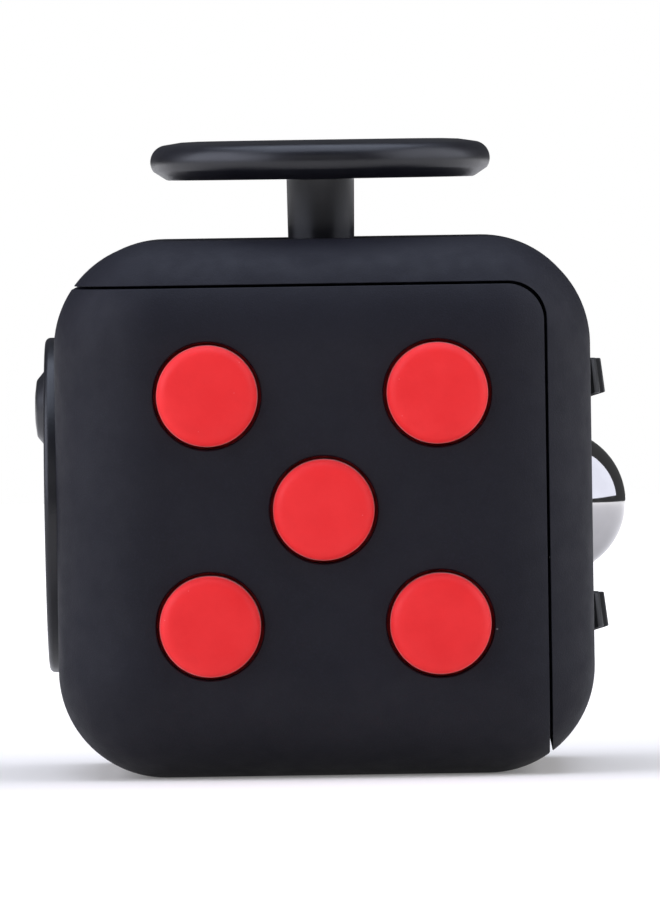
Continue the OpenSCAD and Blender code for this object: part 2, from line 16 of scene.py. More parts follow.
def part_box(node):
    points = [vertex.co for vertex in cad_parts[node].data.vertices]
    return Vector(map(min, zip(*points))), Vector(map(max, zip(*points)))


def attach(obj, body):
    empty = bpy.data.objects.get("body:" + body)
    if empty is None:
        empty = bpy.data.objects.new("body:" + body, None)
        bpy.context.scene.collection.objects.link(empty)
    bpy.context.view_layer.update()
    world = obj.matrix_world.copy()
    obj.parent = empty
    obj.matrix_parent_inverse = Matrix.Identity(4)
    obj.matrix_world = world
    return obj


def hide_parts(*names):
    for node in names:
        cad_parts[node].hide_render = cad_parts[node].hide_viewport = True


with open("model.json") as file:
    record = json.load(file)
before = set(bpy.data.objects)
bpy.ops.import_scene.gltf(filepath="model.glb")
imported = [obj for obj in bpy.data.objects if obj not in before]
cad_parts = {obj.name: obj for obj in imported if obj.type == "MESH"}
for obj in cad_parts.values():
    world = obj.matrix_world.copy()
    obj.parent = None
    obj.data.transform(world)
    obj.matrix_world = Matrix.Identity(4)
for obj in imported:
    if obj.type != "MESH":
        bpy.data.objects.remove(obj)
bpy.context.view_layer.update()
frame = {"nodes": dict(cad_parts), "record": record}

# ---- Sizes, in millimetres ----

MM = 0.001
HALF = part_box("rear_shell")[1].x / MM  # half of the cube's edge
EDGE_R = 6.6
WALL = 1.8
SEAM = HALF - 2.85  # how far the front shell reaches to the right, the back and the top
SEAM_GAP = 0.16
SEAM_R = 2.3
LAP = 0.9  # how far the rear shell's tongue runs under the front shell
LAP_GAP = 0.05
LIP = 0.09  # rounding of the edges along the seam
MOUTH = 0.14  # rounding of the edges round an opening
ROUND_STEPS = 4  # steps of those roundings
FAR = 60.0  # past everything
SHARP_ANGLE = 32  # in degrees: edges that bend more stay sharp

BUTTON_PITCH = 7.05
BUTTONS = {
    "top_left": (-1, 1),
    "top_right": (1, 1),
    "centre": (0, 0),
    "bottom_left": (-1, -1),
    "bottom_right": (1, -1),
}
BUTTON_R = 3.1
BUTTON_PROUD = 1.1
BUTTON_GAP = 0.2

DIAL_R = 10.4
DIAL_UP = 0.15
DIAL_PROUD = 0.74
DIAL_SINK = 0.75
DIAL_GAP = 0.12
DIAL_BORE_R = 2.45
STUD_OUT = 6.0  # the stud's distance from the dial's centre

PIVOT = -6.0  # the joystick's pivot, below the top face
STICK_R = 10.55
STICK_T = 2.4
STICK_UP = 3.7  # the disc's underside, above the top face
STICK_HOLE_R = 4.0
STALK_R = 2.1
SOCKET_R = 1.22

BALL_R = 4.5
BALL_AT = (-5.1, 0.0)
BALL_GAP = 0.12
BALL_DEPTH = 2.1 - BALL_R
GEAR_AT = 4.9
GEAR_R = 4.2
GEAR_W = 2.4
GEAR_BEVEL = 0.25
GEAR_GAP = 0.3
GEAR_DEPTH = 1.05 - GEAR_R
GEAR_TEETH = 14
GEARS = {"upper": 7.5, "middle": 0.2, "lower": -7.1}  # heights above the face's middle

DISH = (9.0, 7.4, 2.1)  # half length, half width and depth of the worry pad
ROCKER_W = 8.2
ROCKER_GAP = 0.2
ROCKER_TILT = math.radians(8)
ROCKER_PIVOT = -3.1
WINDOW_H = 15


# ---- Places: each puts its Z out of a face, with 0 on the face ----


def face_frame(right, up):
    right, up = Vector(right), Vector(up)
    out = right.cross(up)
    turn = Matrix((right, up, out)).transposed().to_4x4()
    return Matrix.Translation(out * HALF) @ turn


FRONT = face_frame((1, 0, 0), (0, 0, 1))
LEFT = face_frame((0, -1, 0), (0, 0, 1))
DIAL = LEFT @ Matrix.Translation((0, DIAL_UP, 0))
RIGHT = face_frame((0, 1, 0), (0, 0, 1))
BACK = face_frame((-1, 0, 0), (0, 0, 1))
TOP = face_frame((1, 0, 0), (0, 1, 0))
BOTTOM = face_frame((1, 0, 0), (0, -1, 0))
STAND = Matrix.Scale(MM, 4) @ Matrix.Translation((0, 0, HALF))


def at(x, y, z=0.0):
    return Matrix.Translation((x, y, z))


# ---- Outlines ----


def arc(centre, radius, start, end, steps=8):
    """Points of an arc, with its angles in degrees."""
    angles = np.radians(np.linspace(start, end, steps + 1))
    return [(centre[0] + radius * math.cos(t), centre[1] + radius * math.sin(t)) for t in angles]


def filleted(corners, steps=6):
    """A line through corners of (x, y, radius), with each corner but the ends rounded to its radius."""
    points = []
    for i, (x, y, radius) in enumerate(corners):
        here = Vector((x, y))
        if radius <= 0 or i in (0, len(corners) - 1):
            points.append((x, y))
            continue
        before = (Vector(corners[i - 1][:2]) - here).normalized()
        after = (Vector(corners[i + 1][:2]) - here).normalized()
        half_angle = before.angle(after) / 2
        reach = radius / math.tan(half_angle)
        middle = here + (before + after).normalized() * radius / math.sin(half_angle)
        first = here + before * reach - middle
        last = here + after * reach - middle
        sweep = first.angle_signed(last)
        for k in range(steps + 1):
            spoke = first.copy()
            spoke.rotate(Matrix.Rotation(-sweep * k / steps, 2))
            points.append(tuple(middle + spoke))
    return points


def round_rect(width, height, radius, grow=0.0):
    """A rectangle with round corners, made bigger by grow all round."""
    w, h, r = width / 2 + grow, height / 2 + grow, radius + grow
    corners = [(w - r, h - r, 0), (r - w, h - r, 90), (r - w, r - h, 180), (w - r, r - h, 270)]
    points = []
    for x, y, start in corners:
        points += arc((x, y), r, start, start + 90, 6)
    return points


def circle(radius, count=96):
    angles = [2 * math.pi * k / count for k in range(count)]
    return [(radius * math.cos(t), radius * math.sin(t)) for t in angles]


# ---- Meshes ----


def new_object(name, verts, faces):
    mesh = bpy.data.meshes.new(name)
    mesh.from_pydata([tuple(v) for v in verts], [], faces)
    obj = bpy.data.objects.new(name, mesh)
    bpy.context.scene.collection.objects.link(obj)
    return obj


def loft(name, rings, closed=False):
    """A skin over rings of points, capped at both ends, or closed on itself like a tyre."""
    count = len(rings[0])
    verts = [p for ring in rings for p in ring]
    faces = []
    last = len(rings) if closed else len(rings) - 1
    for i in range(last):
        j = (i + 1) % len(rings)
        for k in range(count):
            n = (k + 1) % count
            faces.append((i * count + k, i * count + n, j * count + n, j * count + k))
    if not closed:
        faces.append(tuple(reversed(range(count))))
        faces.append(tuple(range((len(rings) - 1) * count, len(rings) * count)))
    obj = new_object(name, verts, faces)
    clean(obj)
    return obj


def clean(obj):
    """Joins points that lie together, drops what has no area and turns every face outwards."""
    distance = 1e-5
    work = bmesh.new()
    work.from_mesh(obj.data)
    bmesh.ops.remove_doubles(work, verts=work.verts, dist=distance)
    bmesh.ops.dissolve_degenerate(work, edges=work.edges, dist=distance)
    bmesh.ops.recalc_face_normals(work, faces=work.faces)
    work.to_mesh(obj.data)
    work.free()


def turned(name, profile, segments=96, closed=False):
    """A solid of revolution round Z from (radius, height) points, closed when they make a loop."""
    unit = circle(1.0, segments)
    rings = [[(r * x, r * y, z) for x, y in unit] for r, z in profile]
    return loft(name, rings, closed)


def cylinder(name, radius, low, high, segments):
    return turned(name, [(0, low), (radius, low), (radius, high), (0, high)], segments)


def pin(name, radius, half, edge):
    """A rod along Z, half long each way, with rounded ends."""
    corners = [(0, -half, 0), (radius, -half, edge), (radius, half, edge), (0, half, 0)]
    return turned(name, filleted(corners), 48)


def prism(name, outline, low, high):
    return loft(name, [[(x, y, z) for x, y in outline] for z in (low, high)])


def flared(name, outline, depth, lip=MOUTH):
    """A cutter for a straight opening with a rounded mouth at z = 0, whose shape is outline(grow)."""
    rings = [(0.0, -depth)]
    bend = np.linspace(math.pi / 2, 0, ROUND_STEPS + 1)
    rings += [(lip * (1 - math.sin(a)), lip * (math.cos(a) - 1)) for a in bend]
    rings.append((lip + 0.02, 0.5))
    return loft(name, [[(x, y, z) for x, y in outline(grow)] for grow, z in rings])


def placed(obj, matrix):
    obj.data.transform(matrix)
    if matrix.determinant() < 0:
        obj.data.flip_normals()
    return obj


def combine(target, tool, operation):
    """Joins, cuts or keeps in common two solids, and uses up the second."""
    step = target.modifiers.new(operation, "BOOLEAN")
    step.operation = operation
    step.solver = "MANIFOLD"
    step.object = tool
    graph = bpy.context.evaluated_depsgraph_get()
    mesh = bpy.data.meshes.new_from_object(target.evaluated_get(graph))
    target.modifiers.clear()
    old = target.data
    target.data = mesh
    bpy.data.meshes.remove(old)
    bpy.data.objects.remove(tool)
    return target


def cut(target, *tools):
    for tool in tools:
        combine(target, tool, "DIFFERENCE")
    return target


def joined(target, *tools):
    for tool in tools:
        combine(target, tool, "UNION")
    return target


def common(target, *tools):
    for tool in tools:
        combine(target, tool, "INTERSECT")
    return target


def smooth(obj, angle=SHARP_ANGLE):
    """Smooth shading that stays sharp at real edges and flat on big faces."""
    obj.data.shade_smooth()
    obj.data.set_sharp_from_angle(angle=math.radians(angle))
    step = obj.modifiers.new("weighted", "WEIGHTED_NORMAL")
    step.keep_sharp = True
    step.weight = 100
    return obj


def bevelled(obj, width, segments, angle):
    """Rounds the edges that bend more than angle."""
    step = obj.modifiers.new("bevel", "BEVEL")
    step.width = width
    step.segments = segments
    step.limit_method = "ANGLE"
    step.angle_limit = math.radians(angle)
    step.miter_outer = "MITER_ARC"
    step.use_clamp_overlap = True
    graph = bpy.context.evaluated_depsgraph_get()
    mesh = bpy.data.meshes.new_from_object(obj.evaluated_get(graph))
    obj.modifiers.clear()
    obj.data = mesh
    return obj


# ---- Case ----


def rounded_cube(name, half, radius):
    """A cube with round edges and corners, as one grid to a face."""
    arc_steps, flat_steps = 12, 16
    flat = half - radius
    bend = [flat + radius * math.tan(math.radians(45) * i / arc_steps) for i in range(1, arc_steps + 1)]
    line = [-t for t in reversed(bend)] + list(np.linspace(-flat, flat, flat_steps + 1)) + bend
    size = len(line)
    verts, faces = [], []
    for axis in range(3):
        for sign in (-1, 1):
            base = len(verts)
            for u in line:
                for v in line:
                    p = np.empty(3)
                    p[axis] = sign * half
                    p[(axis + 1) % 3] = u
                    p[(axis + 2) % 3] = v
                    core = np.clip(p, -flat, flat)
                    away = p - core
                    verts.append(core + away * radius / np.linalg.norm(away))
            for i in range(size - 1):
                for j in range(size - 1):
                    a = base + i * size + j
                    faces.append((a, a + size, a + size + 1, a + 1))
    obj = new_object(name, verts, faces)
    clean(obj)
    return obj


def front_region(reach):
    """What the front shell fills: below reach on every axis, with its three edges rounded."""
    bend = arc((reach - SEAM_R, reach - SEAM_R), SEAM_R, 0, 90, 16)
    outline = [(-FAR, -FAR), (reach, -FAR)] + bend + [(-FAR, reach)]
    region = prism("region", outline, -FAR, FAR)
    for degrees in (120, 240):
        side = prism("region_side", outline, -FAR, FAR)
        common(region, placed(side, Matrix.Rotation(math.radians(degrees), 4, (1, 1, 1))))
    near = HALF / 2
    return cut(region, prism("corner", [(near, near), (FAR, near), (FAR, FAR), (near, FAR)], near, FAR))


def seam_line():
    """Points along the middle of the seam, each with the case's normal and the direction across the seam."""
    flat = HALF - EDGE_R
    middle = SEAM + SEAM_GAP / 2
    turn_at = middle - SEAM_R

    def surface(u, v):
        over = max(abs(u) - flat, 0.0) ** 2 + max(abs(v) - flat, 0.0) ** 2
        return -(flat + math.sqrt(EDGE_R**2 - over))

    stretch = list(np.linspace(turn_at, flat, 4))[:-1] + list(np.linspace(flat, -flat, 24))
    ring = math.sqrt(EDGE_R**2 - (middle - flat) ** 2)
    third = [((surface(y, middle), y, middle), (0, 0, 1)) for y in stretch]
    third += [((x, y, middle), (0, 0, 1)) for x, y in arc((-flat, -flat), ring, 180, 270, 16)[1:-1]]
    third += [((x, surface(x, middle), middle), (0, 0, 1)) for x in reversed(stretch[1:])]
    for angle in np.radians(np.linspace(0, 90, 17)[:-1]):
        x = turn_at + SEAM_R * math.sin(angle)
        z = turn_at + SEAM_R * math.cos(angle)
        third.append(((x, surface(x, z), z), (math.sin(angle), 0, math.cos(angle))))
    line = []
    for shift in range(3):
        for spot, across in third:
            point = np.roll(spot, shift)
            away = point - np.clip(point, -flat, flat)
            line.append((point, away / np.linalg.norm(away), np.roll(np.array(across, float), shift)))
    return line


def seam_groove():
    """A cutter that runs round the seam and rounds both of its edges."""
    lift, keel = 0.3, 0.08
    bend = np.linspace(0, math.pi / 2, ROUND_STEPS + 1)
    rings = []
    for point, normal, across in seam_line():
        along_surface = across - normal * across.dot(normal)
        along_surface /= np.linalg.norm(along_surface)
        inward = -(normal - across * normal.dot(across))
        inward /= np.linalg.norm(inward)
        side = SEAM_GAP / 2 / along_surface.dot(across)
        half = [(side + LIP + lift, -lift)]
        half += [(side + LIP * (1 - math.sin(a)), LIP * (1 - math.cos(a))) for a in bend]
        profile = half + [(0.0, LIP + keel)] + [(-b, d) for b, d in reversed(half)]
        rings.append([point + along_surface * b + (inward * d if d > 0 else -normal * d) for b, d in profile])
    return loft("groove", rings, closed=True)


def case_normals(obj):
    """Gives the outer skin the exact normals of a rounded cube, so that cuts leave no mark in its shading."""
    skin_depth, least_facing = 0.012, 0.93
    mesh = obj.data
    mesh.shade_smooth()
    mesh.set_sharp_from_angle(angle=math.radians(SHARP_ANGLE))
    flat = HALF - EDGE_R
    co = np.empty(len(mesh.vertices) * 3)
    mesh.vertices.foreach_get("co", co)
    co = co.reshape(-1, 3)
    away = co - np.clip(co, -flat, flat)
    length = np.linalg.norm(away, axis=1)
    on_skin = np.abs(length - EDGE_R) < skin_depth
    ideal = away / np.maximum(length, 1e-9)[:, None]
    normals = np.empty(len(mesh.loops) * 3)
    mesh.corner_normals.foreach_get("vector", normals)
    normals = normals.reshape(-1, 3)
    corner_vertex = np.empty(len(mesh.loops), int)
    mesh.loops.foreach_get("vertex_index", corner_vertex)
    face_normal = np.empty((len(mesh.polygons), 3))
    face_size = np.empty(len(mesh.polygons), int)
    mesh.polygons.foreach_get("normal", face_normal.ravel())
    mesh.polygons.foreach_get("loop_total", face_size)
    corner_face = np.repeat(np.arange(len(mesh.polygons)), face_size)
    facing = (face_normal[corner_face] * ideal[corner_vertex]).sum(1)
    use = on_skin[corner_vertex] & (facing > least_facing)
    normals[use] = ideal[corner_vertex][use]
    mesh.normals_split_custom_set(normals.tolist())
    return obj


def dish(grow, rim):
    """An oval bowl under the cube, larger by grow all round, with rim as its last rings."""
    long_r, short_r, deep = DISH[0] + grow, DISH[1] + grow, DISH[2] + grow
    steps = [(t, -deep * (1 - t * t)) for t in np.linspace(0, 0.94, 24)] + rim
    rings = [[(t * long_r * x, t * short_r * y, z) for x, y in circle(1.0, 96)] for t, z in steps]
    return placed(loft("dish", rings), BOTTOM)


def dish_cutter():
    """The worry pad's hollow, whose rim rolls over gently."""
    return dish(0, [(0.97, -0.16), (1.0, -0.08), (1.03, -0.03), (1.08, 0.03), (1.2, 0.4)])


def dish_skin():
    """The wall that bulges inward behind the worry pad."""
    return dish(1.5, [(0.97, -0.8), (1.0, -0.6)])


def screw_bosses():
    """Three screw bosses behind the front wall, each with its pilot hole."""
    out, radius, pilot_r = 10.2, 1.8, 0.67
    low, high = -5.3, -WALL + 0.4
    profile = [(pilot_r, low), (radius, low), (radius, high), (pilot_r, high)]
    spots = [(0, out), (0, -out), (-out, 0)]
    return [placed(turned("boss", profile, 32, closed=True), FRONT @ at(x, y)) for x, y in spots]


def front_shell():
    """The shell with the buttons' holes, the dial's recess and the worry pad."""
    shell = common(rounded_cube("front_shell_skin", HALF, EDGE_R), front_region(SEAM))
    cut(shell, rounded_cube("hollow", HALF - WALL, EDGE_R - WALL))
    middle = WALL / 2
    cut(shell, cut(rounded_cube("rebate", HALF - middle, EDGE_R - middle), front_region(SEAM - LAP)))
    cut(shell, seam_groove())
    for x, y in BUTTONS.values():
        hole = flared("hole", lambda grow: circle(BUTTON_R + BUTTON_GAP + grow), WALL + 1)
        cut(shell, placed(hole, FRONT @ at(x * BUTTON_PITCH, y * BUTTON_PITCH)))
    cut(shell, placed(flared("recess", lambda grow: circle(DIAL_R + DIAL_GAP + grow, 128), DIAL_SINK), DIAL))
    cut(shell, placed(cylinder("bore", DIAL_BORE_R, -3, 0, 48), DIAL))
    joined(shell, *screw_bosses())
    joined(shell, dish_skin())
    cut(shell, dish_cutter())
    return case_normals(shell)


def rear_shell():
    """The shell with the joystick's hole, the ball's seat, the gears' slots and the rocker's window."""
    shell = cut(rounded_cube("rear_shell_skin", HALF, EDGE_R), front_region(SEAM + SEAM_GAP))
    middle = WALL / 2 + LAP_GAP
    tongue = cut(rounded_cube("tongue", HALF - middle, EDGE_R - middle), front_region(SEAM - LAP + SEAM_GAP))
    joined(shell, tongue)
    cut(shell, rounded_cube("hollow", HALF - WALL, EDGE_R - WALL))
    cut(shell, seam_groove())
    cut(shell, placed(flared("hole", lambda grow: circle(STICK_HOLE_R + grow), WALL + 1, 0.2), TOP))
    seat_r = BALL_R + BALL_GAP
    seat = turned("seat", arc((0, 0), seat_r, -90, 90, 32), 96)
    cut(shell, placed(seat, RIGHT @ at(*BALL_AT, BALL_DEPTH)))
    mouth = math.sqrt(seat_r**2 - BALL_DEPTH**2)
    rim = [(mouth, -0.12), (mouth + 0.06, -0.02), (mouth + 0.16, 0.05), (mouth + 0.2, 0.5)]
    bell = turned("bell", [(0, -0.2)] + rim + [(0, 0.5)])
    cut(shell, placed(bell, RIGHT @ at(*BALL_AT)))
    sideways = Matrix.Rotation(math.radians(-90), 4, "X")
    pocket_r, pocket_half = GEAR_R + GEAR_GAP, GEAR_W / 2 + GEAR_GAP
    slot_w = 2 * math.sqrt(pocket_r**2 - GEAR_DEPTH**2) - 0.1
    for height in GEARS.values():
        pocket = cylinder("pocket", pocket_r, -pocket_half, pocket_half, 96)
        cut(shell, placed(pocket, RIGHT @ at(GEAR_AT, height, GEAR_DEPTH) @ sideways))
        slot = flared("slot", lambda grow: round_rect(slot_w, 2 * pocket_half, 0.15, grow), 0.4)
        cut(shell, placed(slot, RIGHT @ at(GEAR_AT, height)))
    window_w = ROCKER_W + 2 * ROCKER_GAP
    window = flared("window", lambda grow: round_rect(window_w, WINDOW_H, 0.5, grow), WALL + 1)
    cut(shell, placed(window, BACK))
    return case_normals(shell)


# ---- Front: buttons ----


def push_button(name):
    """A button cap: a foot, a flange that holds it in the case, and a rounded head."""
    foot_r, foot_low = 1.5, -3.3
    flange_r, flange_low, flange_high = 3.75, -2.65, -1.95
    profile = filleted(
        [
            (0, foot_low, 0),
            (foot_r, foot_low, 0.1),
            (foot_r, flange_low, 0),
            (flange_r, flange_low, 0.15),
            (flange_r, flange_high, 0.15),
            (BUTTON_R, flange_high, 0.05),
            (BUTTON_R, BUTTON_PROUD - 0.16, 0.75),
            (1.9, BUTTON_PROUD - 0.03, 6.0),
            (0, BUTTON_PROUD, 0),
        ]
    )
    return smooth(turned(name, profile, 96))


# ---- Left: dial ----


def spin_dial():
    """The dial with its hub and stud, and the hub's screw hole."""
    low = -DIAL_SINK + 0.05
    hub_r, hub_low = 2.4, -4.2
    screw_r = 0.77
    stud_r, stud_up = 2.42, 0.68
    hub = [(hub_r, hub_low, 0.1), (hub_r, low, 0)]
    plate = [(DIAL_R, low, 0.08), (DIAL_R, DIAL_PROUD, 0.34), (6.0, DIAL_PROUD, 0)]
    solid = turned("spin_dial_body", [(0, hub_low)] + filleted(hub + plate) + [(0, DIAL_PROUD)], 128)
    dome = [(stud_r, 0, 0), (2.3, 0.12, 0.12), (1.75, 0.57, 0.35), (0.9, stud_up, 1.5), (0, stud_up, 0)]
    stud = turned("stud", [(0, -0.2), (stud_r, -0.2)] + filleted(dome), 64)
    joined(solid, placed(stud, at(0, STUD_OUT, DIAL_PROUD)))
    cut(solid, cylinder("thread", screw_r, -5, -WALL, 32))
    return smooth(placed(solid, DIAL))


# ---- Top: joystick ----


def joystick_cap():
    """The disc with its rounded rim and shallow bowl, on a hollow stalk."""
    low = PIVOT + 5.5
    top = STICK_UP + STICK_T
    bowl_r, bowl_deep = 6.5, 0.35
    nose_r, nose_up = 1.05, 1.15
    stalk = [(STALK_R - 0.03, 1.0, 0), (STALK_R, STICK_UP + 0.14, 0.25), (STICK_R - 1.4, STICK_UP + 0.02, 0)]
    profile = [(0, low), (STALK_R - 0.12, low), (STALK_R - 0.05, low + 0.07)] + filleted(stalk)
    profile += [(STICK_R - 1.1, STICK_UP), (STICK_R - 0.95, STICK_UP + 0.05)]
    profile += arc((STICK_R - nose_r, STICK_UP + nose_up), nose_r, -35, 82, 20)
    profile += [(8.6, top - 0.05), (7.6, top - 0.01)]
    profile += [(bowl_r * t, top - bowl_deep * (1 - t * t)) for t in np.linspace(1, 0, 16)]
    solid = turned("joystick_disc", profile, 128)
    cut(solid, cylinder("socket", SOCKET_R, low - 1, STICK_UP + 0.2, 32))
    return smooth(placed(solid, TOP), 40)


def joystick_shaft():
    """The rod that the disc sits on, with the dome that closes the case's hole and its trunnion."""
    outer_r, inner_r = 5.5, 4.8
    tip = STICK_UP - PIVOT

    def on_dome(radius, degrees):
        t = math.radians(degrees)
        return radius * math.sin(t), radius * math.cos(t)

    root = on_dome(inner_r, 25)[1]
    profile = [(0, -3.5), (1.4, -3.5), (1.4, -2.9), (2.5, -2.9), (2.5, -2.3), (1.3, -2.3)]
    profile += [(1.3, root - 0.1), (2.02, root)]
    profile += [on_dome(inner_r, t) for t in np.linspace(27, 57, 12)]
    edge = [(*on_dome(inner_r, 58), 0), (*on_dome(outer_r, 58), 0.12), (*on_dome(outer_r, 56), 0)]
    profile += filleted(edge)
    profile += [on_dome(outer_r, t) for t in np.linspace(54, 26, 16)]
    profile += [(2.3, outer_r - 0.5), (2.3, outer_r - 0.1), (2.25, outer_r - 0.05), (1.2, outer_r - 0.05)]
    profile += [(1.2, tip - 0.1), (1.1, tip), (0, tip)]
    solid = turned("joystick_shaft_body", profile, 96)
    joined(solid, prism("block", round_rect(3.2, 3.2, 0.2), -1.2, 1.2))
    joined(solid, placed(pin("trunnion", 0.6, 2.95, 0.1), Matrix.Rotation(math.radians(90), 4, "X")))
    return smooth(placed(solid, TOP @ at(0, 0, PIVOT)))


def coil_spring(name, mean_r, wire_r, length, turns):
    """A wire wound round Z from z = 0, with one closed turn at each end."""
    steps, sides = 36, 12
    dead = 2.15 * wire_r
    rise = length - 2 * wire_r
    pitch = (rise - 2 * dead) / (turns - 2)
    rings = []
    for i in range(turns * steps + 1):
        t = i / steps
        height = t * dead if t < 1 else rise - (turns - t) * dead if t > turns - 1 else dead + (t - 1) * pitch
        a = 2 * math.pi * t
        ring = []
        for k in range(sides):
            b = 2 * math.pi * k / sides
            r = mean_r + wire_r * math.cos(b)
            ring.append((r * math.cos(a), r * math.sin(a), wire_r + height + wire_r * math.sin(b)))
        rings.append(ring)
    return loft(name, rings)


def joystick_spring():
    """The coil between the shaft's foot and the floor of its housing."""
    floor_depth, floor_t = 7.2, 0.75
    spring = coil_spring("joystick_coil", mean_r=1.9, wire_r=0.2, length=3.5, turns=5)
    return smooth(placed(spring, TOP @ at(0, 0, PIVOT - floor_depth + floor_t)), 60)


# ---- Right: gears and ball ----


# The gears turn round the frame's Z: a tooth gap faces the click spring behind them
AXLE_TURN = Matrix(((0, 1, 0), (0, 0, 1), (1, 0, 0))).to_4x4()


def gear(name, height):
    """A thumb gear with bevelled teeth, on a hub that is longer than the teeth."""
    root, hub, bore, hub_half, hub_edge = GEAR_R - 0.85, 1.3, 0.8, 2.75, 0.08
    side = GEAR_W / 2
    step = 2 * math.pi / GEAR_TEETH
    crest = 1.03
    # half a tooth, as shares of the pitch and of the height, then its mirror image and the gap's middle
    tooth = [(-0.42, 0.0), (-0.33, 0.04), (-0.2, 0.93), (-0.155, 1.0), (0.0, crest)]
    tooth += [(-turn, share) for turn, share in reversed(tooth[:-1])] + [(0.5, -0.02)]

    def outline(shrink, lift):
        points = []
        for i in range(GEAR_TEETH):
            for turn, share in tooth:
                r = root + share * (GEAR_R - shrink - root) / crest
                points.append((r, step * (i + turn), share * lift))
        return points

    low = outline(0.0, GEAR_BEVEL)
    high = outline(GEAR_BEVEL, 0.0)
    angles = [a for _, a, _ in low]

    def ring(radius, z):
        return [(radius * math.cos(a), radius * math.sin(a), z) for a in angles]

    def teeth(points, z, grow=0.0):
        return [((r + grow) * math.cos(a), (r + grow) * math.sin(a), z + rise) for r, a, rise in points]

    round_off = 0.07
    rings = [
        ring(bore, -hub_half),
        ring(hub - hub_edge, -hub_half),
        ring(hub, -hub_half + hub_edge),
        ring(hub, -side),
        teeth(low, -side, -round_off),
        teeth(low, -side + round_off * 0.3, -round_off * 0.3),
        teeth(low, -side + round_off),
        teeth(high, side - round_off),
        teeth(high, side - round_off * 0.3, -round_off * 0.3),
        teeth(high, side, -round_off),
        ring(hub, side),
        ring(hub, hub_half - hub_edge),
        ring(hub - hub_edge, hub_half),
        ring(bore, hub_half),
    ]
    solid = loft(name, rings, closed=True)
    return smooth(placed(solid, RIGHT @ at(GEAR_AT, height, GEAR_DEPTH) @ AXLE_TURN), 38)


def steel_ball():
    """A ball made from an evenly divided cube, so that no pole shows in its polish."""
    work = bmesh.new()
    bmesh.ops.create_cube(work, size=1)
    bmesh.ops.subdivide_edges(work, edges=work.edges, cuts=31, use_grid_fill=True)
    for vertex in work.verts:
        x, y, z = vertex.co * 2
        vertex.co = Vector(
            (
                x * math.sqrt(max(1 - y * y / 2 - z * z / 2 + y * y * z * z / 3, 0)),
                y * math.sqrt(max(1 - z * z / 2 - x * x / 2 + z * z * x * x / 3, 0)),
                z * math.sqrt(max(1 - x * x / 2 - y * y / 2 + x * x * y * y / 3, 0)),
            )
        )
        vertex.co = vertex.co.normalized() * BALL_R
    mesh = bpy.data.meshes.new("polished_ball")
    work.to_mesh(mesh)
    work.free()
    mesh.shade_smooth()
    obj = bpy.data.objects.new("polished_ball", mesh)
    bpy.context.scene.collection.objects.link(obj)
    return placed(obj, RIGHT @ at(*BALL_AT, BALL_DEPTH))


# ---- Back: rocker ----


def rocker_switch():
    """The rocker's two-sided paddle, with the pin it turns on and the fin that the leaf spring holds."""
    face, end, end_r, tail, tail_r = 3.3, 6.1, 7.4, 3.1, 0.5
    belly, belly_low = 2.2, -1.3
    rise = face + end * math.tan(ROCKER_TILT)
    low = 0.6
    top_angle = math.degrees(math.atan2(rise, end))
    low_angle = math.degrees(math.asin(low / end_r))
    right = arc((0, 0), end_r, top_angle, low_angle, 10)
    left = [(-x, y) for x, y in reversed(right)]
    valley = filleted([right[0] + (0,), (0, face, 9.0), left[-1] + (0,)], 14)
    outline = list(reversed(valley[1:-1])) + right + [(belly, belly_low), (-belly, belly_low)] + left
    lying = Matrix(((0, 0, 1), (1, 0, 0), (0, 1, 0))).to_4x4()
    body = bevelled(placed(prism("rocker_paddle", outline, -ROCKER_W / 2, ROCKER_W / 2), lying), 0.28, 4, 38)
    fin = [(0.9, 0), (-0.9, 0)] + arc((0, -tail), tail_r, 180, 360, 10)
    joined(body, placed(prism("fin", fin, -1.5, 1.5), lying))
    joined(body, placed(pin("pin", 0.9, 5.75, 0.12), Matrix.Rotation(math.radians(90), 4, "Y")))
    return smooth(placed(body, BACK @ at(0, 0, ROCKER_PIVOT) @ Matrix.Rotation(-ROCKER_TILT, 4, "X")))


# ---- Materials ----


